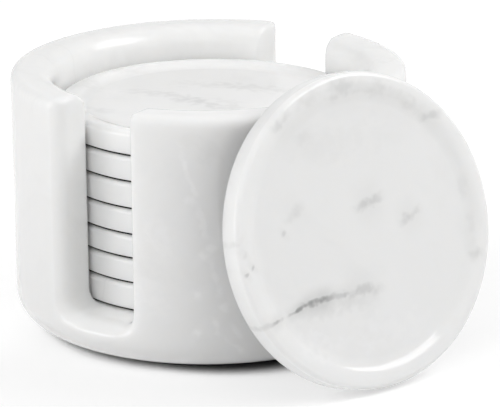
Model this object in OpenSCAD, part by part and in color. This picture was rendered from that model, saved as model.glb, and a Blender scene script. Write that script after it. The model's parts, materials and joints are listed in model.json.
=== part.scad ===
// Marble coaster set: a round slotted holder, a stack of dished coasters inside it, and one more
// coaster that leans on the outside of the holder. Every marble piece has a thin non-slip disc under it.
// Sizes are in millimetres. The origin is on the holder's axis, at the table; the two finger slots
// face -Y and +Y.

/* [Coasters] */
// Diameter of a coaster
coaster_d = 100; // [90:1:110]
// Thickness of an average marble disc
stone_t = 8; // [7:0.5:12]
// Rounding of a disc's upper edge
top_edge_r = 1.8; // [1:0.1:2.4]
// Rounding of a disc's lower edge
low_edge_r = 0.6; // [0.3:0.1:1]
// Width of the raised rim round the dish, out to the disc's edge
rim_w = 4.5; // [3.5:0.1:6]
// Width of the S-shaped slope between the rim and the floor of the dish
slope_w = 4; // [3:0.5:6]
// Depth of the dish
dish_depth = 1.4; // [0.8:0.1:2]
// Thickness of the non-slip disc under a coaster
pad_t = 0.7; // [0.4:0.1:1.5]
// Distance that this disc stays inside the edge of the marble
pad_inset = 1; // [0.8:0.1:2]

/* [Holder] */
// Gap between a coaster and the wall of the well
well_gap = 1.2; // [0.8:0.1:2]
// Rounding between the wall of the well and its floor
well_fillet_r = 1; // [0.5:0.1:2]
// Thickness of the wall
wall_t = 14.4; // [12:0.2:18]
// Thickness of the marble floor
floor_t = 13.2; // [12:0.2:18]
// Height of the wall above the top coaster
rim_above = 10.6; // [8:0.2:20]
// Rounding of the holder's lower edge
foot_r = 10; // [6:0.5:12]
// Rounding of the wall's upper edge on the outside
rim_outer_r = 3; // [1:0.5:5]
// Rounding of the wall's upper edge on the inside
rim_inner_r = 6; // [1:0.5:6.5]
// Thickness of the non-slip disc under the holder
base_pad_t = 2.4; // [1:0.2:4]
// Distance that this disc stays inside the flat of the foot
base_pad_inset = 3.5; // [1:0.5:8]

/* [Finger slots] */
// Width of a slot
slot_w = 26.6; // [24:0.2:36]
// Rounding of the lower corners of a slot
slot_corner_r = 5; // [3:0.5:8]
// Rounding of the two upper corners of a slot
slot_top_r = 1.5; // [1:0.5:4]
// Rounding of the upright edges of a slot on the outside of the wall
slot_edge_r = 4.5; // [2:0.5:6]
// Rounding of its upright edges on the inside of the wall
slot_inner_r = 2; // [1:0.5:3]
// Rounding of the outer edge of the sill at the foot of a slot
sill_edge_r = 5.5; // [3:0.5:7]

/* [Leaning coaster] */
// Angle between the leaning coaster and the upright
lean_angle = 15; // [10:1:25]
// Direction in which it stands, from the front slot towards +X
lean_turn = 71; // [50:1:130]
// Thickness of its marble disc
lean_stone_t = 8; // [7:0.5:12]
// Gap left where it touches the holder and the table
lean_gap = 0.2; // [0.1:0.1:0.4]

/* [Hidden] */
$fn = 128;
// What each disc of the stack, from the bottom up, has of the average thickness: they are sawn by hand
thickness_shares = [1.08, 0.96, 0.92, 1.00, 1.04, 1.00, 0.95];
stack_count = len(thickness_shares);
coaster_r = coaster_d / 2;
well_r = coaster_r + well_gap;
outer_r = well_r + wall_t;
floor_z = base_pad_t + floor_t;
// Thickness of disc k of the stack, and the height at which its non-slip disc starts
function disc_t(k) = stone_t * thickness_shares[k - 1];
function seat_z(k) = k == 1 ? floor_z : seat_z(k - 1) + pad_t + disc_t(k - 1);
holder_top = seat_z(stack_count + 1) + rim_above;
// Overrun of every cut past the face that it opens
cut = 1;
marble = [0.93, 0.93, 0.92];
non_slip = [0.13, 0.13, 0.14];
// Steps of the slope of a dish, and of a swept rounding: across it, round a corner, and along the sill
slope_steps = 10;
round_steps = 6;
corner_steps = 6;
sill_steps = 8;

// What a rounding of radius r takes off a corner at the origin whose solid lies towards (sx, sy)
module corner_waste(r, sx, sy) {
    difference() {
        translate([sx < 0 ? -r : -cut, sy < 0 ? -r : -cut])
            square(r + cut);
        translate([sx * r, sy * r])
            circle(r);
    }
}

// Half section of the dish, with the level of the rim at y = 0: a flat floor, then an S-shaped slope
module dish_section() {
    foot = coaster_r - rim_w - slope_w;
    slope = [for (i = [0 : slope_steps])
        [foot + slope_w * i / slope_steps, -dish_depth * (1 + cos(180 * i / slope_steps)) / 2]];
    polygon(concat([[0, cut], [0, -dish_depth]], slope, [[foot + slope_w, cut]]));
}

// A turned marble disc of thickness t with a dished top, standing on z = 0
module dished_disc(t) {
    color(marble)
        rotate_extrude()
            difference() {
                square([coaster_r, t]);
                translate([coaster_r, t])
                    corner_waste(top_edge_r, -1, -1);
                translate([coaster_r, 0])
                    corner_waste(low_edge_r, -1, 1);
                translate([0, t])
                    dish_section();
            }
}

// The non-slip disc under a coaster, standing on z = 0
module coaster_backing() {
    color(non_slip)
        cylinder(h = pad_t, r = coaster_r - pad_inset);
}

module stacked_coaster(k) {
    translate([0, 0, seat_z(k) + pad_t])
        dished_disc(disc_t(k));
}

module stacked_pad(k) {
    translate([0, 0, seat_z(k)])
        coaster_backing();
}

// Half section of the cup before its slots are cut
module cup_section() {
    difference() {
        translate([0, base_pad_t])
            square([outer_r, holder_top - base_pad_t]);
        translate([outer_r, base_pad_t])
            corner_waste(foot_r, -1, 1);
        translate([outer_r, holder_top])
            corner_waste(rim_outer_r, -1, -1);
        translate([well_r, holder_top])
            corner_waste(rim_inner_r, 1, -1);
        difference() {
            translate([0, floor_z])
                square([well_r, holder_top - floor_z + cut]);
            translate([well_r, floor_z])
                corner_waste(min(well_fillet_r, well_gap), -1, 1);
        }
    }
}

// Outline of a finger slot, seen along Y
module slot_outline() {
    difference() {
        translate([-slot_w / 2, floor_z])
            square([slot_w, holder_top - floor_z + cut]);
        for (side = [-1, 1])
            translate([side * slot_w / 2, floor_z])
                corner_waste(slot_corner_r, -side, 1);
    }
    for (side = [-1, 1])
        translate([side * slot_w / 2, holder_top])
            corner_waste(slot_top_r, side, -1);
}

// Rounds one upright inner edge of a slot, where its side meets the well
module inner_edge_waste() {
    centre_x = slot_w / 2 + slot_inner_r;
    centre_r = well_r + slot_inner_r;
    centre = [centre_x, -sqrt(centre_r * centre_r - centre_x * centre_x)];
    near = centre * (well_r - cut) / centre_r;
    translate([0, 0, floor_z])
        linear_extrude(holder_top - floor_z + cut)
            difference() {
                polygon([centre, [slot_w / 2 - cut, centre[1]], [slot_w / 2 - cut, near[1]], near]);
                translate(centre)
                    circle(slot_inner_r);
            }
}

// Points of the slot's edge seen along Y, from the top right round the sill to the top left. Each is
// [x, z, direction of the marble in degrees]
function mouth_path() = concat(
    [[slot_w / 2, holder_top + cut, 0]],
    [for (i = [0 : corner_steps]) let (a = -90 * i / corner_steps)
        [slot_w / 2 - slot_corner_r * (1 - cos(a)), floor_z + slot_corner_r * (1 + sin(a)), a]],
    [for (i = [1 : sill_steps - 1])
        [(slot_w / 2 - slot_corner_r) * (1 - 2 * i / sill_steps), floor_z, -90]],
    [for (i = [0 : corner_steps]) let (a = -90 - 90 * i / corner_steps)
        [-slot_w / 2 + slot_corner_r * (1 + cos(a)), floor_z + slot_corner_r * (1 + sin(a)), a]],
    [[-slot_w / 2, holder_top + cut, -180]]);

// Radius of the rounding where the marble lies in direction a: wider at the sill than at the sides
function mouth_r(a) = slot_edge_r - (sill_edge_r - slot_edge_r) * sin(a);

// Section of what the rounding takes off: [distance into the marble, depth below the outer face]. The
// first and last chords run on past the two faces that they round
function mouth_section(r) =
    let (step = 90 / round_steps,
         side = r * sin(step),
         rise = r * (1 - cos(step)))
    concat(
        [[-cut, r + side], [-rise, r + side]],
        [for (i = [1 : round_steps - 1]) [r * (1 - cos(i * step)), r * (1 - sin(i * step))]],
        [[r + side, -rise], [r + side, -cut], [-cut, -cut]]);

function mouth_point(p, s) =
    let (x = p[0] + s[0] * cos(p[2]),
         z = p[1] + s[0] * sin(p[2]))
    [x, s[1] - sqrt(outer_r * outer_r - x * x), z];

// Rounds the outer edge of the front slot, all the way round its mouth
module mouth_waste() {
    path = mouth_path();
    size = len(mouth_section(1));
    points = [for (p = path) for (s = mouth_section(mouth_r(p[2]))) mouth_point(p, s)];
    sides = [for (i = [0 : len(path) - 2]) for (j = [0 : size - 1])
        let (a = i * size + j, b = i * size + (j + 1) % size)
        each [[a, b + size, b], [a, a + size, b + size]]];
    first = [for (j = [0 : size - 1]) j];
    last = [for (j = [0 : size - 1]) (len(path) - 1) * size + size - 1 - j];
    polyhedron(points, concat(sides, [first, last]), convexity = 6);
}

// The turned and slotted marble cup
module holder() {
    color(marble)
        difference() {
            rotate_extrude()
                cup_section();
            rotate([90, 0, 0])
                linear_extrude(2 * (outer_r + cut), center = true)
                    slot_outline();
            for (front = [0, 1])
                mirror([0, front, 0]) {
                    mouth_waste();
                    for (right = [0, 1])
                        mirror([right, 0, 0])
                            inner_edge_waste();
                }
        }
}

// The non-slip disc under the holder
module holder_base_pad() {
    color(non_slip)
        cylinder(h = base_pad_t, r = outer_r - foot_r - base_pad_inset);
}

// Puts a coaster that is modelled flat on its non-slip disc where it leans: the disc is lean_gap off
// the rounded rim of the holder, and the marble's lower edge is lean_gap off the table
module leaned() {
    rim = rim_outer_r;
    back = (outer_r - rim) * cos(lean_angle) + (holder_top - rim) * sin(lean_angle) + rim + lean_gap;
    middle_z = lean_gap + low_edge_r + (coaster_r - low_edge_r) * cos(lean_angle)
        - low_edge_r * sin(lean_angle) - pad_t * sin(lean_angle);
    up = (middle_z - back * sin(lean_angle)) / cos(lean_angle);
    rotate([0, 0, lean_turn])
        translate([0, up * sin(lean_angle) - back * cos(lean_angle), middle_z])
            rotate([90 - lean_angle, 0, 0])
                children();
}

module leaning_coaster() {
    leaned()
        translate([0, 0, pad_t])
            dished_disc(lean_stone_t);
}

module leaning_coaster_pad() {
    leaned()
        coaster_backing();
}

holder();
holder_base_pad();
for (k = [1 : stack_count]) {
    stacked_coaster(k);
    stacked_pad(k);
}
leaning_coaster();
leaning_coaster_pad();
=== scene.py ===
# %% [markdown]
# A marble coaster set, dressed for its picture.
# The model comes packed as a fixed frame: eighteen solids at their real size, in metres, with the
# joints that lift each coaster. This lesson leaves the sizes alone and gives every piece the soft
# edges, the polish and the veins that turned marble has. It ends with the lights and the floor.

# %% Load the frame
import json
import math
import bmesh
import bpy
from mathutils import Matrix, Vector


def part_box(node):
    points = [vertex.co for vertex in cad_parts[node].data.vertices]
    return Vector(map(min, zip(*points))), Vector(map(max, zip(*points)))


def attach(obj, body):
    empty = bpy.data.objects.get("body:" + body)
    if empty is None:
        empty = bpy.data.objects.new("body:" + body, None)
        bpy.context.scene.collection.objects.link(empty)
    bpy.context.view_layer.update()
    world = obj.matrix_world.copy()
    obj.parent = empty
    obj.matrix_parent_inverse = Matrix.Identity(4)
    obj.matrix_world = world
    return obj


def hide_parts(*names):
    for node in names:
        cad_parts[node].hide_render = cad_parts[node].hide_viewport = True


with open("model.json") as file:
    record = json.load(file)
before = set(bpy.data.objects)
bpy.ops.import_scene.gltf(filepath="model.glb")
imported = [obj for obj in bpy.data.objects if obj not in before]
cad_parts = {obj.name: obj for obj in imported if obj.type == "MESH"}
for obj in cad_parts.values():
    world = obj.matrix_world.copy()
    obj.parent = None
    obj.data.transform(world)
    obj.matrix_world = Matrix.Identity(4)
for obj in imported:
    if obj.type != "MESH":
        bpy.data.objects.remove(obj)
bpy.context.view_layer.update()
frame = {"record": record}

MM = 0.001

# %% [markdown]
# The main sizes are read from the boxes of the frame's own solids, so that this script can't
# disagree with them. Only what a box can't tell, such as a rounding or the slope of a dish, is
# written where its piece is made. These values are the solids' own as well, apart from the slope
# of the dishes and one side of the finger slots, where a comment says what differs.

# %% Sizes read from the frame
STACK = range(1, 8)


def node_low_high(node):
    """Lowest and highest corner of a node at rest."""
    low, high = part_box(node)
    return Vector(low), Vector(high)


def node_radius(node):
    """Radius of an upright round node."""
    low, high = node_low_high(node)
    return (high.x - low.x) / 2


HOLDER_LOW, HOLDER_HIGH = node_low_high("holder")
HOLDER_RADIUS = node_radius("holder")
COASTER_RADIUS = node_radius("coaster_1")
WELL_FLOOR = node_low_high("coaster_pad_1")[0].z
print("Holder radius, top and well floor in mm:",
      [round(v / MM, 2) for v in (HOLDER_RADIUS, HOLDER_HIGH.z, WELL_FLOOR)])

# %% [markdown]
# The camera comes first, because every later choice is judged through it. The picture was taken
# with a long lens from a little above. Such a view has a place, a direction, a small roll and a
# focal length, and these values were found by fitting the ellipses and edges of the real object.

# %% The camera
PHOTO_WIDTH = 500
SENSOR_WIDTH_MM = 36
FOCAL_PIXELS = 2981.2
CAMERA_DISTANCE = 1000 * MM
CAMERA_AZIMUTH = math.radians(34.37)
CAMERA_HEIGHT_ANGLE = math.radians(17.39)
CAMERA_ROLL = math.radians(-0.46)
AIM_POINT = Vector((0, 0, 40 * MM))
# Where the aim point shows, in pixels right of and above the middle of the picture
AIM_PIXELS_RIGHT = -39.68
AIM_PIXELS_UP = 4.05
NEAREST_SEEN = 10 * MM


def towards(azimuth, height_angle):
    """Unit vector to a point seen at an azimuth from the front slot towards +X, and a height angle."""
    level = math.cos(height_angle)
    return Vector((math.sin(azimuth) * level, -math.cos(azimuth) * level, math.sin(height_angle)))


def place_camera():
    """Make the camera that has the picture's view."""
    back = towards(CAMERA_AZIMUTH, CAMERA_HEIGHT_ANGLE)
    level_right = Vector((math.cos(CAMERA_AZIMUTH), math.sin(CAMERA_AZIMUTH), 0))
    steep_up = back.cross(level_right)
    right = math.cos(CAMERA_ROLL) * level_right + math.sin(CAMERA_ROLL) * steep_up
    up = math.cos(CAMERA_ROLL) * steep_up - math.sin(CAMERA_ROLL) * level_right
    pixel = CAMERA_DISTANCE / FOCAL_PIXELS
    place = (AIM_POINT + back * CAMERA_DISTANCE
             - right * AIM_PIXELS_RIGHT * pixel - up * AIM_PIXELS_UP * pixel)
    lens = bpy.data.cameras.new("camera")
    lens.sensor_width = SENSOR_WIDTH_MM
    lens.lens = FOCAL_PIXELS * SENSOR_WIDTH_MM / PHOTO_WIDTH
    lens.clip_start = NEAREST_SEEN
    camera = bpy.data.objects.new("camera", lens)
    bpy.context.scene.collection.objects.link(camera)
    camera.matrix_world = Matrix.Translation(place) @ Matrix((right, up, back)).transposed().to_4x4()
    bpy.context.scene.camera = camera
    return camera


camera = place_camera()
print("Lens:", round(camera.data.lens, 2), "mm, camera at",
      [round(v, 4) for v in camera.matrix_world.translation])

# %% [markdown]
# The pieces are modelled as by hand: a primitive is added, then shaped in edit mode. An operator
# acts on whatever is selected, so each piece starts with nothing selected, and its faces and edges
# are then picked by where they lie. These few helpers do that for all the pieces.

# %% Helpers for work in edit mode
TINY = 0.01 * MM
# A face is level when its normal points up or down by more than this
LEVEL_NORMAL = 0.99
# The profile that bevels an edge into a part of a circle
ROUND_PROFILE = 0.5
# Faces that meet at less than this angle are shaded as one smooth surface
CREASE_ANGLE = math.radians(40)


def start_piece(name):
    """Name the primitive just added and go into edit mode."""
    piece = bpy.context.object
    piece.name = name
    piece.data.name = name
    bpy.ops.object.mode_set(mode="EDIT")
    return piece


def start_cylinder(name, sides, radius, low, high):
    """Add an upright cylinder between two heights and go into edit mode."""
    bpy.ops.object.select_all(action="DESELECT")
    bpy.ops.mesh.primitive_cylinder_add(vertices=sides, radius=radius, depth=high - low,
                                        location=(0, 0, (low + high) / 2))
    bpy.ops.object.transform_apply(location=True)
    return start_piece(name)


def pick(piece, kind, test):
    """Select the vertices, edges or faces that pass a test, and nothing else."""
    bpy.ops.mesh.select_mode(type=kind)
    bpy.ops.mesh.select_all(action="DESELECT")
    shape = bmesh.from_edit_mesh(piece.data)
    items = {"VERT": shape.verts, "EDGE": shape.edges, "FACE": shape.faces}[kind]
    for item in [item for item in items if test(item)]:
        item.select_set(True)
    shape.select_flush_mode()
    bmesh.update_edit_mesh(piece.data)


def ring_at(radius, height):
    """A test for the edges of the ring of one radius at one height."""
    def on_ring(edge):
        return all(abs(v.co.xy.length - radius) < TINY and abs(v.co.z - height) < TINY for v in edge.verts)
    return on_ring


def is_level(face):
    """Whether a face points straight up or down."""
    return abs(face.normal.z) > LEVEL_NORMAL


def flat_face_at(height):
    """A test for the level faces at one height."""
    def is_there(face):
        return is_level(face) and abs(face.calc_center_median().z - height) < TINY
    return is_there


def round_ring(piece, radius, height, rounding, steps):
    """Round the edge along one ring."""
    pick(piece, "EDGE", ring_at(radius, height))
    bpy.ops.mesh.bevel(offset=rounding, segments=steps, profile=ROUND_PROFILE, affect="EDGES")


def apply_modifier(piece, kind, **settings):
    """Add a modifier with its settings and apply it."""
    bpy.context.view_layer.objects.active = piece
    modifier = piece.modifiers.new(kind.title(), kind)
    for setting, value in settings.items():
        setattr(modifier, setting, value)
    bpy.ops.object.modifier_apply(modifier=modifier.name)


def finish_piece(piece):
    """Leave edit mode with smooth shading and flat faces that stay flat."""
    bpy.ops.object.mode_set(mode="OBJECT")
    bpy.ops.object.transform_apply(location=True, rotation=True, scale=True)
    bpy.ops.object.shade_smooth_by_angle(angle=CREASE_ANGLE)
    bpy.ops.object.select_all(action="DESELECT")
    print(piece.name, "has", len(piece.data.polygons), "faces")
    return piece


# %% [markdown]
# A coaster is a disc turned from marble. Its top is dished: a rim, a short S-shaped slope and a
# flat floor, which hold a drink's drips. A spun profile could make it, but insets and bevels keep
# the rings even and need no outline: the top face is inset twice, the second time downwards, and
# then each ring is rounded as the polishing wheel rounds it.

# %% One coaster
AROUND = 144
COASTER_MODEL_THICKNESS = 8 * MM
# The polish spreads the slope 1 mm further to each side than in the solids
RIM_WIDTH = 3.5 * MM
SLOPE_WIDTH = 6 * MM
DISH_DEPTH = 1.4 * MM
# The slope is cut straight and narrower first, and its two bevels then spread it to its full width
STRAIGHT_SLOPE = 3.4 * MM
SLOPE_ROUNDING = 1.75 * MM
TOP_EDGE_ROUNDING = 1.8 * MM
LOW_EDGE_ROUNDING = 0.6 * MM
SLOPE_STEPS = 6
TOP_EDGE_STEPS = 8
LOW_EDGE_STEPS = 4
# A narrow ring of faces past the foot of the slope keeps the rounding off the flat floor
HOLDING_RING = 0.4 * MM


def model_coaster():
    """A coaster's marble, standing on z = 0."""
    top = COASTER_MODEL_THICKNESS
    coaster = start_cylinder("coaster_model", AROUND, COASTER_RADIUS, 0, top)
    pick(coaster, "FACE", flat_face_at(top))
    outer_ring = COASTER_RADIUS - RIM_WIDTH - (SLOPE_WIDTH - STRAIGHT_SLOPE) / 2
    inner_ring = outer_ring - STRAIGHT_SLOPE
    # An inset counts from the straight sides, which lie a little nearer the middle than the corners
    side_cosine = math.cos(math.pi / AROUND)
    bpy.ops.mesh.inset(thickness=(COASTER_RADIUS - outer_ring) * side_cosine, depth=0)
    bpy.ops.mesh.inset(thickness=STRAIGHT_SLOPE * side_cosine, depth=-DISH_DEPTH)
    bpy.ops.mesh.inset(thickness=SLOPE_ROUNDING + HOLDING_RING, depth=0)
    # A ring halfway in and a point in the middle leave no face that is long and many-sided
    bpy.ops.mesh.inset(thickness=inner_ring / 2, depth=0)
    bpy.ops.mesh.poke()
    round_ring(coaster, outer_ring, top, SLOPE_ROUNDING, SLOPE_STEPS)
    round_ring(coaster, inner_ring, top - DISH_DEPTH, SLOPE_ROUNDING, SLOPE_STEPS)
    round_ring(coaster, COASTER_RADIUS, top, TOP_EDGE_ROUNDING, TOP_EDGE_STEPS)
    round_ring(coaster, COASTER_RADIUS, 0, LOW_EDGE_ROUNDING, LOW_EDGE_STEPS)
    finish_piece(coaster)
    apply_modifier(coaster, "WEIGHTED_NORMAL", keep_sharp=True)
    return coaster


coaster_model = model_coaster()

# %% [markdown]
# The discs are sawn by hand, so no two are equally thick. Each is a copy of the one model with its
# own mesh, whose upper half is then moved up or down until the disc has its node's thickness. The
# coaster that leans on the holder is the same disc, turned about the holder and tipped back.

# %% Eight coasters
LEAN_ANGLE = math.radians(15)
LEAN_TURN = math.radians(71)
PAD_LOW, PAD_HIGH = node_low_high("coaster_pad_1")
PAD_THICKNESS = PAD_HIGH.z - PAD_LOW.z
PAD_RADIUS = node_radius("coaster_pad_1")


def copy_of(model, name):
    """A copy of a model with its own name and its own mesh."""
    piece = model.copy()
    piece.data = model.data.copy()
    piece.name = name
    piece.data.name = name
    bpy.context.scene.collection.objects.link(piece)
    return piece


def set_thickness(piece, model_thickness, thickness):
    """Move a disc's upper half so that the disc gets its thickness."""
    bpy.ops.object.select_all(action="DESELECT")
    piece.select_set(True)
    bpy.context.view_layer.objects.active = piece
    bpy.ops.object.mode_set(mode="EDIT")
    pick(piece, "VERT", lambda vertex: vertex.co.z > model_thickness / 2)
    bpy.ops.transform.translate(value=(0, 0, thickness - model_thickness))
    bpy.ops.object.mode_set(mode="OBJECT")


def leaning_place():
    """Turns a disc that lies on the origin, backing down, into the one that leans on the holder."""
    low, high = node_low_high("leaning_coaster_pad")
    turned = Matrix.Rotation(LEAN_TURN, 4, "Z") @ Matrix.Rotation(math.pi / 2 - LEAN_ANGLE, 4, "X")
    from_its_middle = Matrix.Translation((0, 0, -PAD_THICKNESS / 2))
    return Matrix.Translation((low + high) / 2) @ turned @ from_its_middle


LEANING_PLACE = leaning_place()
coasters = {}
for number in STACK:
    name = f"coaster_{number}"
    low, high = node_low_high(name)
    stone = copy_of(coaster_model, name + "_stone")
    set_thickness(stone, COASTER_MODEL_THICKNESS, high.z - low.z)
    stone.data.transform(Matrix.Translation((0, 0, low.z)))
    coasters[name] = stone
leaning_stone = copy_of(coaster_model, "leaning_coaster_stone")
leaning_stone.data.transform(LEANING_PLACE @ Matrix.Translation((0, 0, PAD_THICKNESS)))
coasters["leaning_coaster"] = leaning_stone
bpy.data.objects.remove(coaster_model)
print("Coasters:", ", ".join(coasters))

# %% [markdown]
# Under each disc is a thin black sheet that keeps it from slipping and scratching. It is punched
# out, so its edge is nearly square, with only a trace of rounding. In the picture these sheets are
# the dark lines between the coasters.

# %% The non-slip sheets
SHEET_EDGE = 0.15 * MM
# The sheet under the holder is thicker, and so is its edge
BASE_SHEET_EDGE = 2 * SHEET_EDGE
SHEET_EDGE_STEPS = 3
# A ring of faces this many roundings wide keeps the rounding off the flat sides
SHEET_RING_ROUNDINGS = 4


def model_sheet(name, radius, thickness, edge):
    """A punched round sheet, standing on z = 0."""
    sheet = start_cylinder(name, AROUND, radius, 0, thickness)
    pick(sheet, "FACE", is_level)
    bpy.ops.mesh.inset(thickness=edge * SHEET_RING_ROUNDINGS, depth=0)
    bpy.ops.mesh.poke()
    round_ring(sheet, radius, 0, edge, SHEET_EDGE_STEPS)
    round_ring(sheet, radius, thickness, edge, SHEET_EDGE_STEPS)
    return finish_piece(sheet)


sheet_model = model_sheet("sheet_model", PAD_RADIUS, PAD_THICKNESS, SHEET_EDGE)
sheets = {}
for number in STACK:
    name = f"coaster_pad_{number}"
    sheet = copy_of(sheet_model, name + "_sheet")
    sheet.data.transform(Matrix.Translation((0, 0, node_low_high(name)[0].z)))
    sheets[name] = sheet
leaning_sheet = copy_of(sheet_model, "leaning_coaster_pad_sheet")
leaning_sheet.data.transform(LEANING_PLACE)
sheets["leaning_coaster_pad"] = leaning_sheet
bpy.data.objects.remove(sheet_model)

BASE_PAD_LOW, BASE_PAD_HIGH = node_low_high("holder_base_pad")
base_sheet = model_sheet("holder_base_pad_sheet", node_radius("holder_base_pad"),
                         BASE_PAD_HIGH.z - BASE_PAD_LOW.z, BASE_SHEET_EDGE)
base_sheet.data.transform(Matrix.Translation((0, 0, BASE_PAD_LOW.z)))
sheets["holder_base_pad"] = base_sheet
print("Sheets:", ", ".join(sheets))

# %% [markdown]
# The holder is a thick cup with two finger slots through its wall. It is turned and sawn, its edges
# are ground round, and then it is polished until the wall, the rim and the slots flow into each
# other. The model follows the same order: a cylinder is inset and extruded into a cup and its
# rings are bevelled, a cutter with a flared mouth saws the slots, and the whole is then remeshed
# evenly and smoothed like a wet stone.

# %% The cup
HOLDER_SIDES = 192
WALL = 14.4 * MM
FOOT_ROUNDING = 10 * MM
RIM_OUTER_ROUNDING = 3 * MM
RIM_INNER_ROUNDING = 6 * MM
WELL_ROUNDING = 1 * MM
FOOT_STEPS = 12
RIM_OUTER_STEPS = 8
RIM_INNER_STEPS = 12
WELL_STEPS = 3
# The polish takes a little off the top of the rim, so the cup starts that much taller
RIM_SPARE = 0.15 * MM
CUP_TOP = HOLDER_HIGH.z + RIM_SPARE


def model_cup():
    """The turned cup, before its slots are sawn."""
    well_radius = HOLDER_RADIUS - WALL
    cup = start_cylinder("holder_stone", HOLDER_SIDES, HOLDER_RADIUS, HOLDER_LOW.z, CUP_TOP)
    pick(cup, "FACE", flat_face_at(CUP_TOP))
    bpy.ops.mesh.inset(thickness=WALL * math.cos(math.pi / HOLDER_SIDES), depth=0)
    bpy.ops.mesh.extrude_region_move(TRANSFORM_OT_translate={"value": (0, 0, WELL_FLOOR - CUP_TOP)})
    round_ring(cup, HOLDER_RADIUS, HOLDER_LOW.z, FOOT_ROUNDING, FOOT_STEPS)
    round_ring(cup, HOLDER_RADIUS, CUP_TOP, RIM_OUTER_ROUNDING, RIM_OUTER_STEPS)
    round_ring(cup, well_radius, CUP_TOP, RIM_INNER_ROUNDING, RIM_INNER_STEPS)
    round_ring(cup, well_radius, WELL_FLOOR, WELL_ROUNDING, WELL_STEPS)
    return finish_piece(cup)


cup = model_cup()

# %% [markdown]
# The slots are cut by a piece that has the shape of what the saw takes away. It begins as one
# outline, seen along the slot: upright sides, round lower corners, and shoulders that reach over
# the rim. It is drawn as a plane that grows by extrusion, and its corners are then bevelled.

# %% The outline of the finger slots
SLOT_WIDTH = 26.6 * MM
SLOT_LOW_ROUNDING = 5 * MM
SLOT_TOP_ROUNDING = 1.2 * MM
SLOT_LOW_STEPS = 8
SLOT_TOP_STEPS = 6
SHOULDER = 12 * MM
LEFT, RIGHT = -1, 1


def draw_slot_outline(half, floor):
    """The outline of the slot as one face across Y, with shoulders that stand over the rim."""
    bpy.ops.object.select_all(action="DESELECT")
    bpy.ops.mesh.primitive_plane_add(size=1, rotation=(math.pi / 2, 0, 0))
    cutter = bpy.context.object
    cutter.scale = (SLOT_WIDTH, CUP_TOP - floor, 1)
    cutter.location = (0, 0, (CUP_TOP + floor) / 2)
    bpy.ops.object.transform_apply(location=True, rotation=True, scale=True)
    cutter = start_piece("slot_cutter")
    pick(cutter, "EDGE", lambda edge: all(abs(v.co.z - CUP_TOP) < TINY for v in edge.verts))
    bpy.ops.mesh.extrude_region_move(TRANSFORM_OT_translate={"value": (0, 0, SHOULDER)})
    for side in (LEFT, RIGHT):
        pick(cutter, "EDGE", lambda edge: all(abs(v.co.x - side * half) < TINY for v in edge.verts)
             and max(v.co.z for v in edge.verts) > CUP_TOP + TINY)
        bpy.ops.mesh.extrude_region_move(TRANSFORM_OT_translate={"value": (side * SHOULDER, 0, 0)})
    bpy.ops.mesh.select_all(action="SELECT")
    bpy.ops.mesh.dissolve_limited()
    pick(cutter, "VERT", lambda vertex: vertex.co.z < floor + TINY)
    bpy.ops.mesh.bevel(offset=SLOT_LOW_ROUNDING, segments=SLOT_LOW_STEPS, affect="VERTICES")
    pick(cutter, "VERT", lambda vertex: abs(vertex.co.z - CUP_TOP) < TINY
         and abs(abs(vertex.co.x) - half) < TINY)
    bpy.ops.mesh.bevel(offset=SLOT_TOP_ROUNDING, segments=SLOT_TOP_STEPS, affect="VERTICES")
    return cutter


# %% [markdown]
# The outline is now pushed out from the middle of the well in steps. Near the outside of the wall
# each step also spreads it sideways and downwards by a quarter circle, so that the cutter grinds
# the mouth of the slot round as it saws. That grinding is done by hand, and here it took less off
# the right side of the mouth than off the left one. A mirror then makes the same slot at the back.

# %% The flared cutter
# The solids have the left side's rounding on both sides
MOUTH_SIDE_ROUNDINGS = {LEFT: 4.5 * MM, RIGHT: 2.25 * MM}
MOUTH_SILL_ROUNDING = 6 * MM
MOUTH_STEPS = 24
# The cutter ends this far outside the wall
CUT_PAST_WALL = 2 * MM
# The cut stays a hair above the floor of the well, so that the two don't share a plane
CUT_CLEARANCE = 0.02 * MM


def flare(depth, rounding):
    """How far a rounded edge has spread at a depth past the start of its rounding."""
    inside = min(max(depth, 0), rounding)
    return rounding - math.sqrt(rounding * rounding - inside * inside)


def spread_end(cutter, y, sideways, downwards):
    """Widen the end of the cutter that lies at y by its spread on each side, and lower its bottom."""
    middle = (CUP_TOP + WELL_FLOOR) / 2
    for side, spread in sideways.items():
        pick(cutter, "VERT", lambda v: abs(v.co.y - y) < TINY and v.co.x * side > 0)
        bpy.ops.transform.translate(value=(side * spread, 0, 0))
    pick(cutter, "VERT", lambda v: abs(v.co.y - y) < TINY and v.co.z < middle)
    bpy.ops.transform.translate(value=(0, 0, -downwards))


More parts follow.
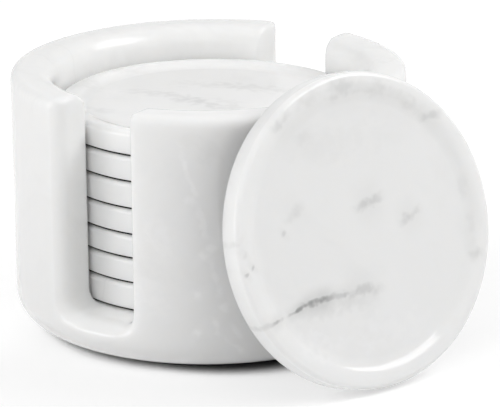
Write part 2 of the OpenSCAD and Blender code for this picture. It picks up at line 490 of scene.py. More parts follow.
def model_slot_cutter():
    """What the saw and the grinding take away at the front and the back."""
    half = SLOT_WIDTH / 2
    cutter = draw_slot_outline(half, WELL_FLOOR + CUT_CLEARANCE)
    # Where the roundings start: they touch the slot there and the outer wall at their end
    side_starts = {side: math.sqrt((HOLDER_RADIUS - rounding) ** 2 - (half + rounding) ** 2)
                   for side, rounding in MOUTH_SIDE_ROUNDINGS.items()}
    sill_start = HOLDER_RADIUS - MOUTH_SILL_ROUNDING
    start = min(side_starts.values())
    outside = HOLDER_RADIUS + CUT_PAST_WALL
    reached, spreads, drop = 0, {LEFT: 0, RIGHT: 0}, 0
    for step in range(MOUTH_STEPS + 1):
        level = start + (outside - start) * step / MOUTH_STEPS
        bpy.ops.mesh.select_all(action="DESELECT")
        pick(cutter, "FACE", lambda face: abs(face.calc_center_median().y + reached) < TINY)
        bpy.ops.mesh.extrude_region_move(TRANSFORM_OT_translate={"value": (0, reached - level, 0)})
        new_spreads = {side: flare(level - side_starts[side], rounding)
                       for side, rounding in MOUTH_SIDE_ROUNDINGS.items()}
        new_drop = flare(level - sill_start, MOUTH_SILL_ROUNDING)
        growth = {side: new_spreads[side] - spreads[side] for side in spreads}
        spread_end(cutter, -level, growth, new_drop - drop)
        reached, spreads, drop = level, new_spreads, new_drop
    pick(cutter, "FACE", lambda face: all(abs(v.co.y) < TINY for v in face.verts))
    bpy.ops.mesh.delete(type="FACE")
    bpy.ops.object.mode_set(mode="OBJECT")
    apply_modifier(cutter, "MIRROR", use_axis=(False, True, False), use_clip=True)
    bpy.ops.object.mode_set(mode="EDIT")
    bpy.ops.mesh.select_all(action="SELECT")
    bpy.ops.mesh.normals_make_consistent(inside=False)
    return finish_piece(cutter)


slot_cutter = model_slot_cutter()
apply_modifier(cup, "BOOLEAN", operation="DIFFERENCE", solver="EXACT", object=slot_cutter)
bpy.data.objects.remove(slot_cutter)
print("Slotted cup:", len(cup.data.polygons), "faces")

# %% [markdown]
# The last edges, where cuts and roundings meet in corners, can't take a bevel. Remeshing the cup
# into even squares of about a millimetre and smoothing it a few times does what the polishing
# wheel does: every edge, straight or curved, melts to the same small radius, and broad faces stay
# as they are.

# %% The polish
POLISH_GRAIN = 1 * MM
POLISH_ROUNDS = 5
# How far each round moves a point towards the middle of its neighbours
POLISH_FORCE = 0.5


def polish(piece, grain, rounds):
    """Remesh a piece evenly and smooth its edges."""
    apply_modifier(piece, "REMESH", mode="VOXEL", voxel_size=grain, adaptivity=0)
    apply_modifier(piece, "SMOOTH", factor=POLISH_FORCE, iterations=rounds)
    bpy.ops.object.select_all(action="DESELECT")
    piece.select_set(True)
    bpy.ops.object.shade_smooth()


polish(cup, POLISH_GRAIN, POLISH_ROUNDS)
corners = [vertex.co for vertex in cup.data.vertices]
print("Polished cup:", len(cup.data.polygons), "faces, from z", round(min(c.z for c in corners) / MM, 2),
      "to", round(max(c.z for c in corners) / MM, 2), "mm, radius",
      round(max(c.xy.length for c in corners) / MM, 2))

# %% [markdown]
# Every piece now rides on the body of the node that it stands for, and takes its place.

# %% Pieces take the place of their nodes
MARBLE_PIECES = {"holder": cup, **coasters}


def body_of(node):
    """The body that carries a node."""
    for body, nodes in frame["record"]["behaviour"]["bodies"].items():
        if node in nodes:
            return body
    return None


def stand_in(pieces):
    """Let pieces ride on their bodies, in place of their nodes."""
    for node, piece in pieces.items():
        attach(piece, body_of(node))
        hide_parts(node)


stand_in(MARBLE_PIECES)
stand_in(sheets)
print("Marble pieces:", len(MARBLE_PIECES), "sheets:", len(sheets))

# %% [markdown]
# White marble is never plain. Soft grey clouds lie in it, thin veins run through it, and its polish
# has tiny differences of gloss. Each of these is a node group with its own sockets, built once, and
# every stone places them with its own values, so that no two discs look the same.

# %% Helpers for materials


def new_group(name, numbers):
    """A shader node group with a vector and named numbers as inputs, and a mask as output."""
    group = bpy.data.node_groups.new(name, "ShaderNodeTree")
    group.interface.new_socket("Vector", in_out="INPUT", socket_type="NodeSocketVector")
    for label, default in numbers.items():
        socket = group.interface.new_socket(label, in_out="INPUT", socket_type="NodeSocketFloat")
        socket.default_value = default
    group.interface.new_socket("Mask", in_out="OUTPUT", socket_type="NodeSocketFloat")
    return group, group.nodes.new("NodeGroupInput"), group.nodes.new("NodeGroupOutput")


def add_node(tree, kind, sources=None, **settings):
    """Add a node, set it up and link or set its inputs."""
    node = tree.nodes.new(kind)
    for setting, value in settings.items():
        setattr(node, setting, value)
    for label, source in (sources or {}).items():
        if isinstance(source, bpy.types.NodeSocket):
            tree.links.new(source, node.inputs[label])
        else:
            node.inputs[label].default_value = source
    return node


def calculate(tree, operation, first, second=None):
    """A math node; returns its output."""
    sources = {0: first} if second is None else {0: first, 1: second}
    return add_node(tree, "ShaderNodeMath", sources, operation=operation).outputs[0]


def ramp_between(tree, value, low, high, out_low=0.0, out_high=1.0):
    """Map a value from one range to another with soft ends."""
    node = add_node(tree, "ShaderNodeMapRange", {"Value": value, "From Min": low, "From Max": high,
                                                 "To Min": out_low, "To Max": out_high},
                    interpolation_type="SMOOTHSTEP")
    return node.outputs["Result"]


# %% [markdown]
# The clouds are soft grey patches. A noise is high in some places and low in others, so a mask that
# starts softly at a certain value of it gives patches, and that value says how many.

# %% Clouds in the stone
CLOUD_NOISE = {"Detail": 4.0, "Roughness": 0.55, "Distortion": 0.7}
# With no cover a mask starts at this value of the noise, which it hardly ever reaches
NO_COVER_START = 0.95
CLOUD_SOFTNESS = 0.32


def build_clouds_group():
    """Soft patches; Size is their width in metres, and Cover says how much of the stone they take."""
    group, entry, out = new_group("Marble clouds", {"Size": 0.02, "Cover": 0.5})
    per_metre = calculate(group, "DIVIDE", 1.0, entry.outputs["Size"])
    noise = add_node(group, "ShaderNodeTexNoise",
                     {"Vector": entry.outputs["Vector"], "Scale": per_metre, **CLOUD_NOISE})
    start = calculate(group, "SUBTRACT", NO_COVER_START, entry.outputs["Cover"])
    end = calculate(group, "ADD", start, CLOUD_SOFTNESS)
    mask = ramp_between(group, noise.outputs["Fac"], start, end)
    group.links.new(mask, out.inputs["Mask"])
    return group


CLOUDS = build_clouds_group()
print("Stone effect:", CLOUDS.name)

# %% [markdown]
# A vein is a thin line that wanders. The places where a noise has just its middle value form such
# lines, so the distance from that value is what the mask needs. A second noise, a little wider,
# breaks the lines up, because real veins come and go.

# %% Thin veins in the stone
NOISE_MIDDLE = 0.5
LINE_NOISE = {"Detail": 5.0, "Roughness": 0.5, "Distortion": 1.1}
PATCH_NOISE = {"Detail": 2.0, "Roughness": 0.5, "Distortion": 0.2}
PATCH_SCALE = 0.9
PATCH_SOFTNESS = 0.2


def build_veins_group():
    """Thin wandering lines where a noise passes its middle; a second noise breaks them up."""
    group, entry, out = new_group("Marble veins", {"Size": 0.05, "Width": 0.02, "Cover": 0.5})
    vector = entry.outputs["Vector"]
    per_metre = calculate(group, "DIVIDE", 1.0, entry.outputs["Size"])
    line_noise = add_node(group, "ShaderNodeTexNoise",
                          {"Vector": vector, "Scale": per_metre, **LINE_NOISE})
    from_middle = calculate(group, "SUBTRACT", line_noise.outputs["Fac"], NOISE_MIDDLE)
    off_middle = calculate(group, "ABSOLUTE", from_middle)
    line = ramp_between(group, off_middle, 0.0, entry.outputs["Width"], 1.0, 0.0)
    patch_scale = calculate(group, "MULTIPLY", per_metre, PATCH_SCALE)
    patch_noise = add_node(group, "ShaderNodeTexNoise",
                           {"Vector": vector, "Scale": patch_scale, **PATCH_NOISE})
    start = calculate(group, "SUBTRACT", NO_COVER_START, entry.outputs["Cover"])
    end = calculate(group, "ADD", start, PATCH_SOFTNESS)
    patch = ramp_between(group, patch_noise.outputs["Fac"], start, end)
    group.links.new(calculate(group, "MULTIPLY", line, patch), out.inputs["Mask"])
    return group


VEINS = build_veins_group()
print("Stone effect:", VEINS.name)

# %% [markdown]
# A mark is one stroke in a place of its own. It is darkest along a line, has a wide faint halo, and
# fades at both ends. Two noises come in from outside: one bends the line, and the other frays its
# edge and thins its core, so that the stroke looks grown and not drawn.

# %% One mark in its own place
# A noise seldom leaves its middle by more than a quarter, so its push is made larger
WANDER_PUSH = 2.0
FRAY_PUSH = 1.2
# The core is whole where the fleck noise is under the first value, and weak over the second
FLECK_RANGE = (0.35, 0.7)
WEAK_CORE = 0.55
HALO_WIDTHS = 3.5
HALO_STRENGTH = 0.22
# The parts of the length, from the middle of the stroke, between which it fades
HALFWAY = 0.5
STROKE_FADE = (0.08, 0.55)


def build_mark_group():
    """A soft stroke along X from 0 to Length. Bend and Fleck are noises that all the strokes share."""
    group, entry, out = new_group("Marble mark", {"Bend": 0.5, "Fleck": 0.5, "Length": 0.04,
                                                  "Width": 0.001, "Wander": 0.002})
    width = entry.outputs["Width"]
    place = add_node(group, "ShaderNodeSeparateXYZ", {"Vector": entry.outputs["Vector"]})
    bend = calculate(group, "SUBTRACT", entry.outputs["Bend"], NOISE_MIDDLE)
    wander = calculate(group, "MULTIPLY", entry.outputs["Wander"], WANDER_PUSH)
    shift = calculate(group, "MULTIPLY", bend, wander)
    across = calculate(group, "ABSOLUTE", calculate(group, "ADD", place.outputs["Y"], shift))
    fleck = calculate(group, "SUBTRACT", entry.outputs["Fleck"], NOISE_MIDDLE)
    fray = calculate(group, "MULTIPLY", fleck, calculate(group, "MULTIPLY", width, FRAY_PUSH))
    core = ramp_between(group, calculate(group, "ADD", across, fray), 0.0, width, 1.0, 0.0)
    solid = ramp_between(group, entry.outputs["Fleck"], *FLECK_RANGE, 1.0, WEAK_CORE)
    core = calculate(group, "MULTIPLY", core, solid)
    halo_width = calculate(group, "MULTIPLY", width, HALO_WIDTHS)
    halo = ramp_between(group, across, 0.0, halo_width, HALO_STRENGTH, 0.0)
    share = calculate(group, "DIVIDE", place.outputs["X"], entry.outputs["Length"])
    from_middle = calculate(group, "ABSOLUTE", calculate(group, "SUBTRACT", share, HALFWAY))
    ends = ramp_between(group, from_middle, *STROKE_FADE, 1.0, 0.0)
    mask = calculate(group, "MULTIPLY", calculate(group, "MAXIMUM", core, halo), ends)
    group.links.new(mask, out.inputs["Mask"])
    return group


MARK = build_mark_group()
print("Stone effect:", MARK.name)

# %% [markdown]
# The stone's own material mixes white with a cloud grey and a vein grey by these masks. The
# principled shader then gives it a polished surface, and a little light scatters under it, as it
# does in real marble. What is the same all over the stone is set on the shader itself.

# %% The marble
WHITE = (0.92, 0.92, 0.913, 1)
CLOUD_GREY = (0.70, 0.70, 0.70, 1)
VEIN_GREY = (0.36, 0.36, 0.36, 1)
PALE_VEIN = (1.0, 1.0, 0.995, 1)
# The roughness beside the small clouds and in their middle
POLISH_LOW = 0.04
POLISH_HIGH = 0.09
# The block was pressed in one direction, so its patterns are shorter along it
PATTERN_STRETCH = (1.0, 0.55, 1.0)
LARGE_CLOUDS = {"Size": 34 * MM, "Cover": 0.45}
SMALL_CLOUDS = {"Size": 12 * MM, "Cover": 0.42}
FINE_VEINS = {"Size": 60 * MM, "Width": 0.022, "Cover": 0.45}
# How strong the small clouds are beside the large ones
SMALL_CLOUD_SHARE = 0.45
MARBLE_SPECULAR = 0.5
# How much light scatters under the surface, and how far its red, green and blue parts go
SCATTER_SHARE = 0.65
SCATTER_DEPTH = 5 * MM
SCATTER_COLOURS = (1.0, 0.97, 0.93)
# The sockets of a mix node have the same names for every kind of value, so they go by number
MIX_SHARE, MIX_FIRST, MIX_SECOND, MIX_RESULT = 0, 6, 7, 2


def place_pattern(tree, coordinates, location=(0, 0, 0), rotation=(0, 0, 0), scale=(1, 1, 1)):
    """Centre and turn a pattern on a piece."""
    return add_node(tree, "ShaderNodeMapping",
                    {"Vector": coordinates, "Location": location, "Rotation": rotation, "Scale": scale},
                    vector_type="TEXTURE").outputs["Vector"]


def use_group(tree, group, sources):
    """Place a node group in a material; returns its mask."""
    return add_node(tree, "ShaderNodeGroup", sources, node_tree=group).outputs["Mask"]


def mix_colour(tree, share, first, second):
    """A colour between two, where a share of 1 gives the second."""
    node = add_node(tree, "ShaderNodeMix", {MIX_SHARE: share, MIX_FIRST: first, MIX_SECOND: second},
                    data_type="RGBA")
    return node.outputs[MIX_RESULT]


def new_marble(name, location, rotation, cloud_share, vein_share, extra=None):
    """A marble whose clouds and veins lie in their own place in each stone."""
    material = bpy.data.materials.new(name)
    material.use_nodes = True
    tree = material.node_tree
    shader = tree.nodes["Principled BSDF"]
    coordinates = add_node(tree, "ShaderNodeTexCoord").outputs["Object"]
    vector = place_pattern(tree, coordinates, location, rotation, PATTERN_STRETCH)
    clouds = use_group(tree, CLOUDS, {"Vector": vector, **LARGE_CLOUDS})
    small_clouds = use_group(tree, CLOUDS, {"Vector": vector, **SMALL_CLOUDS})
    veins = use_group(tree, VEINS, {"Vector": vector, **FINE_VEINS})
    cloudy = calculate(tree, "MULTIPLY", clouds, cloud_share)
    spotted = calculate(tree, "MULTIPLY", small_clouds, cloud_share * SMALL_CLOUD_SHARE)
    colour = mix_colour(tree, cloudy, WHITE, CLOUD_GREY)
    colour = mix_colour(tree, spotted, colour, CLOUD_GREY)
    colour = mix_colour(tree, calculate(tree, "MULTIPLY", veins, vein_share), colour, VEIN_GREY)
    if extra:
        colour = extra(tree, coordinates, colour)
    tree.links.new(colour, shader.inputs["Base Color"])
    gloss = ramp_between(tree, small_clouds, 0.0, 1.0, POLISH_LOW, POLISH_HIGH)
    tree.links.new(gloss, shader.inputs["Roughness"])
    shader.inputs["Specular IOR Level"].default_value = MARBLE_SPECULAR
    shader.inputs["Subsurface Weight"].default_value = SCATTER_SHARE
    shader.inputs["Subsurface Radius"].default_value = SCATTER_COLOURS
    shader.inputs["Subsurface Scale"].default_value = SCATTER_DEPTH
    return material


def wear(piece, material):
    """Give a piece one material."""
    piece.data.materials.clear()
    piece.data.materials.append(material)


# %% [markdown]
# Some marks can't be left to a noise, because they are what one knows this stone by: the dark
# broken vein low on the coaster in front, the smudges on its face, the grey strokes across the top
# coaster, and the pale veins that run down the wall. Other dark strokes are painted shade: those on
# the right of the front coaster's dish slope, and those along the top of its rim and slope, which
# also carry the stone's grey mottling. Two strokes at the left of the top coaster's rim are grey
# veins and painted shade at once. Each is a brush stroke with a start, an end, a width and a
# strength, in millimetres on its own surface. Two noises, shared by all the strokes of a stone,
# bend and fray them.

# %% Strokes
# The first noise bends the strokes over about 9 mm, and the second frays them over about 3 mm
BEND_NOISE = {"Scale": 1 / (9 * MM), "Detail": 2.0, "Roughness": 0.5}
FLECK_NOISE = {"Scale": 1 / (3 * MM), "Detail": 1.5, "Roughness": 0.45}


def lay_marks(tree, place, colour, mark_colour, marks):
    """Brush marks into a colour. Each has from x, y, to x, y, width and wander in mm, and strength."""
    bend = add_node(tree, "ShaderNodeTexNoise", {"Vector": place, **BEND_NOISE}).outputs["Fac"]
    fleck = add_node(tree, "ShaderNodeTexNoise", {"Vector": place, **FLECK_NOISE}).outputs["Fac"]
    for from_x, from_y, to_x, to_y, width, wander, strength in marks:
        angle = math.atan2(to_y - from_y, to_x - from_x)
        along = place_pattern(tree, place, (from_x * MM, from_y * MM, 0), (0, 0, angle))
        mask = use_group(tree, MARK, {"Vector": along, "Bend": bend, "Fleck": fleck,
                                      "Length": math.hypot(to_x - from_x, to_y - from_y) * MM,
                                      "Width": width * MM, "Wander": wander * MM})
        colour = mix_colour(tree, calculate(tree, "MULTIPLY", mask, strength), colour, mark_colour)
    return colour


# %% The marks of the leaning coaster
# Here x runs to the right over the face from its middle, and y runs up
DARK_FACE_MARKS_AND_SHADE = [
    (-50.5, -24.0, -39.0, -20.4, 1.8, 0.8, 0.30),
    (-42.6, -21.4, -35.6, -20.2, 1.2, 0.4, 0.75),
    (-36.0, -20.6, -22.5, -17.4, 1.0, 0.4, 0.95),
    (-30.5, -18.8, -13.5, -17.4, 1.7, 0.6, 1.00),
    (-24.0, -17.9, -15.5, -17.8, 1.5, 0.4, 0.60),
    (-18.0, -18.0, -5.5, -18.2, 1.4, 0.6, 0.40),
    (-14.5, -17.4, 5.0, -19.0, 2.8, 0.8, 0.34),
    (-38.0, -21.5, 6.0, -20.8, 4.5, 1.6, 0.14),
    (-4.5, 6.8, 10.8, 9.7, 3.2, 1.0, 0.36),
    (12.2, -0.7, 24.4, 3.5, 2.8, 0.8, 0.30),
    (-31.0, 7.8, -21.2, 13.2, 3.0, 1.0, 0.18),
    (-32.2, 4.0, -29.6, 5.6, 1.2, 0.4, 0.26),
    (-50.4, 6.2, -49.0, 4.0, 1.8, 0.6, 0.16),
    (-49.0, 0.4, -46.4, 2.6, 1.8, 0.6, 0.20),
    (-46.4, -4.0, -44.2, -2.0, 1.0, 0.4, 0.42),
    (-49.0, -5.2, -46.8, -3.9, 1.0, 0.4, 0.46),
    # These three are painted shade on the right side of the dish slope
    (38.6, -17.0, 45.0, -14.2, 2.6, 1.2, 0.24),
    (39.6, 1.0, 42.8, 11.0, 2.4, 1.6, 0.10),
    (41.0, -13.0, 42.8, -1.0, 2.2, 1.6, 0.10),
    # From here on: painted shade along the top of the rim and the dish slope, with grey mottling in it
    (-31.5, 36.3, -21.5, 42.0, 3.4, 2.0, 0.22),
    (-23.0, 41.0, -7.0, 46.4, 3.4, 2.4, 0.14),
    (-10.0, 45.8, 9.0, 45.2, 4.4, 2.4, 0.24),
    (6.0, 45.0, 21.0, 40.0, 3.8, 2.4, 0.18),
    (18.0, 41.5, 30.0, 32.5, 3.2, 2.4, 0.15),
    (27.0, 31.2, 37.6, 30.8, 2.6, 1.8, 0.28),
    (-22.0, 31.2, -13.0, 34.4, 4.0, 2.0, 0.09),
    (-28.0, 29.0, 32.0, 29.0, 9.0, 4.0, 0.05),
]
PALE_FACE_MARKS = [
    (-37.0, -27.0, -12.0, -37.0, 7.0, 4.0, 0.65),
    (-20.0, -30.0, 25.0, -34.0, 8.0, 4.0, 0.35),
]


def leaning_marks(tree, coordinates, colour):
    """Lay the marks, and the painted shade on the dish slope, on the face of the leaning coaster."""
    on_face = place_pattern(tree, coordinates, LEANING_PLACE.translation, LEANING_PLACE.to_euler())
    colour = lay_marks(tree, on_face, colour, PALE_VEIN, PALE_FACE_MARKS)
    return lay_marks(tree, on_face, colour, VEIN_GREY, DARK_FACE_MARKS_AND_SHADE)


# %% The marks of the top coaster
# Here x and y are the set's own
TOP_MARKS_AND_SHADE = [
    (-38.0, -4.8, -10.0, -2.4, 6.0, 2.0, 0.16),
    (-24.0, -3.0, 4.0, -3.0, 6.5, 2.0, 0.22),
    (-12.0, -3.0, 20.0, -5.8, 7.0, 2.0, 0.28),
    (-4.0, 2.8, 16.0, 0.8, 4.5, 2.0, 0.12),
    (-28.0, 9.6, 3.0, 20.4, 7.0, 2.4, 0.15),
    (-15.0, 16.8, 26.0, 25.2, 7.0, 2.4, 0.22),
    # These two, on the rim at the left, are grey veins and painted shade at once
    (-49.5, -6.6, -36.0, -13.6, 7.0, 2.4, 0.14),
    (-49.0, 7.0, -38.0, 19.0, 7.0, 2.4, 0.11),
    (-34.0, -31.6, -16.0, -29.4, 5.0, 2.0, 0.18),
]


def top_marks(tree, coordinates, colour):
    """Lay the marks, with painted shade at the left of the rim, across the top of the stack."""
    return lay_marks(tree, coordinates, colour, VEIN_GREY, TOP_MARKS_AND_SHADE)


# %% The marks of the wall
# Here x runs round the wall from the middle of the front slot, and y runs up
WALL_MARKS = [
    (30.2, 80.0, 34.4, 65.5, 1.7, 1.0, 1.00),
    (33.2, 69.0, 36.8, 59.5, 1.4, 1.0, 1.00),
    (31.6, 61.0, 36.0, 58.0, 2.8, 0.8, 0.94),
    (35.0, 61.0, 40.8, 44.5, 2.2, 1.4, 1.00),
    (39.0, 46.0, 41.8, 42.8, 2.8, 0.6, 1.00),
    (36.4, 43.2, 39.4, 40.6, 2.2, 0.6, 1.00),
    (39.2, 44.0, 44.2, 24.5, 2.0, 1.6, 0.88),
    (42.6, 26.6, 46.4, 22.4, 2.4, 0.8, 1.00),
    (40.2, 22.6, 42.8, 14.0, 1.7, 0.8, 0.88),
    (41.6, 16.6, 53.0, 6.6, 1.7, 1.2, 1.00),
    (33.8, 16.8, 37.0, 15.0, 2.3, 0.4, 1.00),
    (34.2, 31.6, 37.0, 26.4, 2.0, 0.6, 0.88),
    (46.2, 20.2, 50.4, 12.2, 1.8, 0.8, 0.88),
    (21.0, 58.0, 28.0, 36.0, 5.8, 3.0, 0.47),
    (16.0, 36.0, 26.0, 18.0, 6.9, 3.0, 0.41),
]


def wall_marks(tree, coordinates, colour):
    """Lay the marks on the holder's wall, unrolled round its axis."""
    place = add_node(tree, "ShaderNodeSeparateXYZ", {"Vector": coordinates})
    forwards = calculate(tree, "MULTIPLY", place.outputs["Y"], -1.0)
    azimuth = calculate(tree, "ARCTAN2", place.outputs["X"], forwards)
    around = calculate(tree, "MULTIPLY", azimuth, HOLDER_RADIUS)
    unrolled = add_node(tree, "ShaderNodeCombineXYZ", {"X": around, "Y": place.outputs["Z"]})
    return lay_marks(tree, unrolled.outputs["Vector"], colour, PALE_VEIN, WALL_MARKS)


print("Strokes on the leaning coaster, the top coaster and the wall:",
      [len(marks) for marks in (DARK_FACE_MARKS_AND_SHADE + PALE_FACE_MARKS, TOP_MARKS_AND_SHADE, WALL_MARKS)])

# %% [markdown]
# All the stones come from one block, so they share its colours and clouds. Each is cut from its own
# place in the block and turned its own way. The holder, the top coaster and the leaning one get
# their strokes, and only stones whose faces aren't seen straight on keep veins that fall by chance.

# %% Every stone gets its marble
# The place in the block, the turn in radians, and how strong the clouds and the veins are
HOLDER_CUT = ((0.31, 0.12, 0.05), (0.3, 0.5, 0.2), 0.20, 0.06)
LEANING_CUT = ((0.6, 0.21, 0.4), (0.1, 0.4, 0.9), 0.14, 0.0)
STACK_CLOUDS = 0.20
STACK_VEINS = 0.10
# The coasters of the stack follow each other through the block by equal steps
FIRST_PLACE = (0.0, 0.4, 0.0)
PLACE_STEP = (0.17, -0.09, 0.23)
FIRST_TURN = (0.0, 0.2, 0.0)
TURN_STEP = (0.35, 0.0, 0.9)


def after_steps(first, step, number):
    """Where a number of equal steps leads."""
    return tuple(start + part * number for start, part in zip(first, step))


wear(cup, new_marble("marble_holder", *HOLDER_CUT, wall_marks))
for number in STACK:
    place = after_steps(FIRST_PLACE, PLACE_STEP, number)
    turn = after_steps(FIRST_TURN, TURN_STEP, number)
    marks = top_marks if number == STACK[-1] else None
    veined = 0.0 if marks else STACK_VEINS
    marble = new_marble(f"marble_{number}", place, turn, STACK_CLOUDS, veined, marks)
    wear(coasters[f"coaster_{number}"], marble)
wear(leaning_stone, new_marble("marble_leaning", *LEANING_CUT, leaning_marks))
print("Marbles:", ", ".join(piece.active_material.name for piece in MARBLE_PIECES.values()))

# %% [markdown]
# The non-slip sheet is soft black rubber foam. It is matt, a little dusty, and has a fine pebbled
# skin, which a bump from a small noise gives.

# %% The non-slip rubber
RUBBER_BLACK = (0.006, 0.006, 0.006, 1)
RUBBER_DUST = (0.018, 0.018, 0.018, 1)
DUST_CLOUDS = {"Size": 15 * MM, "Cover": 0.45}
DUST_SHARE = 0.25
PEBBLE_NOISE = {"Scale": 1400.0, "Detail": 3.0, "Roughness": 0.6}
# The roughness grows from the first to the second value over this range of the pebble noise
PEBBLE_RANGE = (0.3, 0.7)
RUBBER_ROUGHNESS = (0.75, 0.95)
PEBBLE_HEIGHT = 0.1 * MM
PEBBLE_STRENGTH = 0.4
RUBBER_SPECULAR = 0.12


def new_rubber(name):
    """Dusty black rubber with a pebbled skin."""
    material = bpy.data.materials.new(name)
    material.use_nodes = True
    tree = material.node_tree
    shader = tree.nodes["Principled BSDF"]
    coordinates = add_node(tree, "ShaderNodeTexCoord").outputs["Object"]
    pebbles = add_node(tree, "ShaderNodeTexNoise", {"Vector": coordinates, **PEBBLE_NOISE}).outputs["Fac"]
    dust = use_group(tree, CLOUDS, {"Vector": coordinates, **DUST_CLOUDS})
    colour = mix_colour(tree, calculate(tree, "MULTIPLY", dust, DUST_SHARE), RUBBER_BLACK, RUBBER_DUST)
    tree.links.new(colour, shader.inputs["Base Color"])
    roughness = ramp_between(tree, pebbles, *PEBBLE_RANGE, *RUBBER_ROUGHNESS)
    tree.links.new(roughness, shader.inputs["Roughness"])
    bump = add_node(tree, "ShaderNodeBump", {"Height": pebbles, "Strength": PEBBLE_STRENGTH,
                                             "Distance": PEBBLE_HEIGHT})
    tree.links.new(bump.outputs["Normal"], shader.inputs["Normal"])
    shader.inputs["Specular IOR Level"].default_value = RUBBER_SPECULAR
    return material


rubber = new_rubber("non_slip_rubber")
for sheet in sheets.values():
    wear(sheet, rubber)
print("Sheets in", rubber.name + ":", len(sheets))

# %% [markdown]
# The studio is a white sweep with soft light. A plain white floor would carry a wide grey shadow, so
# this paper also glows where it is looked at, as a light table does. Light Path tells the rays that
# look from those that carry light, and so keeps the glow away from the stone. Ambient occlusion,
# which says how open a place is, takes the glow away under the holder's foot and mixes in a near
# black there, so a deep, thin shadow is painted there. The light comes from the left, so this
# painted shadow is made to grow towards the right, and the glow near the holder is painted a little
# brighter on the left.

# %% What is looked at
PURE_WHITE = (1, 1, 1, 1)


def looked_at(tree):
    """1 where the camera sees a surface, also in a reflection or through glass."""
    path = add_node(tree, "ShaderNodeLightPath")
    seen = calculate(tree, "MAXIMUM", path.outputs["Is Camera Ray"], path.outputs["Is Glossy Ray"])
    return calculate(tree, "MAXIMUM", seen, path.outputs["Is Transmission Ray"])


def mix_shaders(tree, share, first, second):
    """A shader between two, where a share of 1 gives the second."""
    return add_node(tree, "ShaderNodeMixShader",
                    {0: share, 1: first.outputs[0], 2: second.outputs[0]}).outputs[0]


# %% The floor
FLOOR_SIZE = 12.0
FLOOR_WHITE = (0.9, 0.9, 0.9, 1)
# What the eye sees of the paper is over white, with painted shade in the crease under the holder's foot
SEEN_FLOOR_WHITE = (1.3, 1.3, 1.3, 1)
CREASE_SHADE = (0.02, 0.02, 0.02, 1)
GLOW_SHARE = 0.74
# The glow close to the holder, and at the radius from which it no longer grows
GLOW_NEAR = 0.93
GLOW_FAR = 1.12
GLOW_FAR_RADIUS = 200 * MM
# On the lit side, between these two places, the glow close to the holder grows to this: painted light
GLOW_NEAR_LEFT = 1.07
LEFT_GLOW_X = -60 * MM
EVEN_GLOW_X = -20 * MM
# How far the occlusion looks, and the least openness away from the holder, where the painted shade stays
# faint
CONTACT_REACH = 11 * MM
LEAST_OPENNESS = 0.50
# The painted shadow under the foot grows between these two places. Each pair has the openness at
# which something starts or ends, left of them and right of them.
THIN_SHADOW_X = 12 * MM
DEEP_SHADOW_X = 60 * MM
CREASE_END = (0.16, 0.45)
GLOW_START = (0.07, 0.18)
GLOW_END = (0.25, 0.66)
# Between these radii the paper fades into pure white, so that its far edge never shows
FADE_START = 250 * MM
FADE_END = 800 * MM


def by_side(tree, x, left_and_right):
    """The left value, the right one, or one between them where the painted shadow grows."""
    return ramp_between(tree, x, THIN_SHADOW_X, DEEP_SHADOW_X, *left_and_right)


def new_paper():
    """White paper that glows where it is looked at, with a painted shadow in the crease under the holder.
    """
    material = bpy.data.materials.new("studio_paper")
    material.use_nodes = True
    tree = material.node_tree
    tree.nodes.clear()
    openness = add_node(tree, "ShaderNodeAmbientOcclusion", {"Distance": CONTACT_REACH}).outputs["AO"]
    coordinates = add_node(tree, "ShaderNodeTexCoord").outputs["Object"]
    length = add_node(tree, "ShaderNodeVectorMath", {0: coordinates}, operation="LENGTH")
    from_axis = length.outputs["Value"]
    least = ramp_between(tree, from_axis, HOLDER_RADIUS, HOLDER_RADIUS + CONTACT_REACH,
                         0.0, LEAST_OPENNESS)
    openness = calculate(tree, "MAXIMUM", openness, least)
    x = add_node(tree, "ShaderNodeSeparateXYZ", {"Vector": coordinates}).outputs["X"]
    creased = ramp_between(tree, openness, 0.0, by_side(tree, x, CREASE_END))
    seen_white_and_shade = mix_colour(tree, creased, CREASE_SHADE, SEEN_FLOOR_WHITE)
    colour = mix_colour(tree, looked_at(tree), FLOOR_WHITE, seen_white_and_shade)
    paper = add_node(tree, "ShaderNodeBsdfDiffuse", {"Color": colour})
    near = ramp_between(tree, x, LEFT_GLOW_X, EVEN_GLOW_X, GLOW_NEAR_LEFT, GLOW_NEAR)
    strength = ramp_between(tree, from_axis, HOLDER_RADIUS, GLOW_FAR_RADIUS, near, GLOW_FAR)
    glow = add_node(tree, "ShaderNodeEmission", {"Color": PURE_WHITE, "Strength": strength})
    glow_start = by_side(tree, x, GLOW_START)
    glow_end = by_side(tree, x, GLOW_END)
    glowing = ramp_between(tree, openness, glow_start, glow_end, 0.0, GLOW_SHARE)
    path = add_node(tree, "ShaderNodeLightPath")
    faded = calculate(tree, "MULTIPLY", ramp_between(tree, from_axis, FADE_START, FADE_END),
                      path.outputs["Is Camera Ray"])
    share = calculate(tree, "MAXIMUM", calculate(tree, "MULTIPLY", looked_at(tree), glowing), faded)
    add_node(tree, "ShaderNodeOutputMaterial", {"Surface": mix_shaders(tree, share, paper, glow)})
    return material


def lay_floor():
    """The paper under the set, which is no part of it."""
    bpy.ops.object.select_all(action="DESELECT")
    bpy.ops.mesh.primitive_plane_add(size=FLOOR_SIZE, location=(0, 0, BASE_PAD_LOW.z))
    bpy.ops.object.transform_apply(location=True)
    floor = bpy.context.object
    floor.name = "studio_floor"
    wear(floor, new_paper())
    return floor


floor = lay_floor()
print("Floor:", floor.name, "in", floor.active_material.name)

# %% [markdown]
# The world behind the paper is white too where it is looked at. As a lamp it gives only a weak even
# fill, because a strong one would wash out the shapes that the softboxes draw.

# %% The world
FILL_STRENGTH = 0.03
# At this strength a world shows as plain white
WHITE_STRENGTH = 1.0


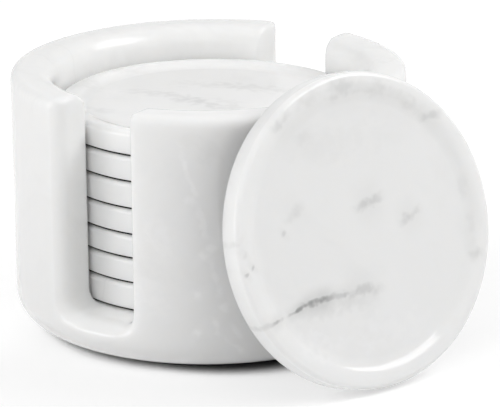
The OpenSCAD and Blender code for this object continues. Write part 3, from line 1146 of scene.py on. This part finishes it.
def build_world():
    """A world that shows white and hardly lights."""
    world = bpy.data.worlds.new("studio")
    bpy.context.scene.world = world
    world.use_nodes = True
    tree = world.node_tree
    tree.nodes.clear()
    fill, white = [add_node(tree, "ShaderNodeBackground", {"Color": PURE_WHITE, "Strength": strength})
                   for strength in (FILL_STRENGTH, WHITE_STRENGTH)]
    surface = mix_shaders(tree, looked_at(tree), fill, white)
    add_node(tree, "ShaderNodeOutputWorld", {"Surface": surface})
    return world


world = build_world()
print("World:", world.name)

# %% [markdown]
# One big lamp would leave the inside of the slot and the well black, so the light comes from eight
# softboxes round the set, all weak. Polished stone shows each lamp as a bright patch, and in a real
# studio most of them are hidden by black card. Here three are shown: the low one at the left
# draws the thin streaks on the stack and the slot's sill, and the two at the back right draw the
# arcs on the leaning coaster. The others give light but are left out of the reflections.

# %% The softboxes
# Azimuth and height angle in degrees, width and height in metres, power in watts, and whether
# the polish shows it
SOFTBOXES = {
    "left_low_softbox": (-44, 14, 0.60, 0.32, 1.8, True),
    "left_high_softbox": (-36, 44, 0.50, 0.50, 2.6, False),
    "back_softbox": (114.5, 36.3, 0.63, 0.44, 3.3, True),
    "back_high_softbox": (134, 48, 0.50, 0.34, 1.3, True),
    "right_softbox": (72, 50, 0.60, 0.40, 1.3, False),
    "far_softbox": (165, 42, 0.55, 0.60, 1.5, False),
    "front_softbox": (10, 20, 0.60, 0.50, 1.7, False),
    "front_high_softbox": (25, 62, 0.60, 0.50, 1.5, False),
}
SOFTBOX_DISTANCE = 1.0
LIT_POINT = Vector((0, 0, 45 * MM))


def hang_softbox(name, azimuth, height_angle, width, height, power, shows_in_polish):
    """A soft rectangular lamp that faces the set."""
    lamp = bpy.data.lights.new(name, "AREA")
    lamp.shape = "RECTANGLE"
    lamp.size = width
    lamp.size_y = height
    lamp.energy = power
    softbox = bpy.data.objects.new(name, lamp)
    bpy.context.scene.collection.objects.link(softbox)
    away = towards(math.radians(azimuth), math.radians(height_angle))
    softbox.matrix_world = (Matrix.Translation(LIT_POINT + away * SOFTBOX_DISTANCE)
                            @ away.to_track_quat("Z", "Y").to_matrix().to_4x4())
    softbox.visible_glossy = shows_in_polish


for name, values in SOFTBOXES.items():
    hang_softbox(name, *values)
print("Softboxes:", ", ".join(SOFTBOXES))

# %% [markdown]
# Blender's usual view transform greys pale colours, so a white stone would come out dull. The
# standard one shows colours as they are written.

# %% Colours as written
bpy.context.scene.view_settings.view_transform = "Standard"
print("View transform:", bpy.context.scene.view_settings.view_transform)
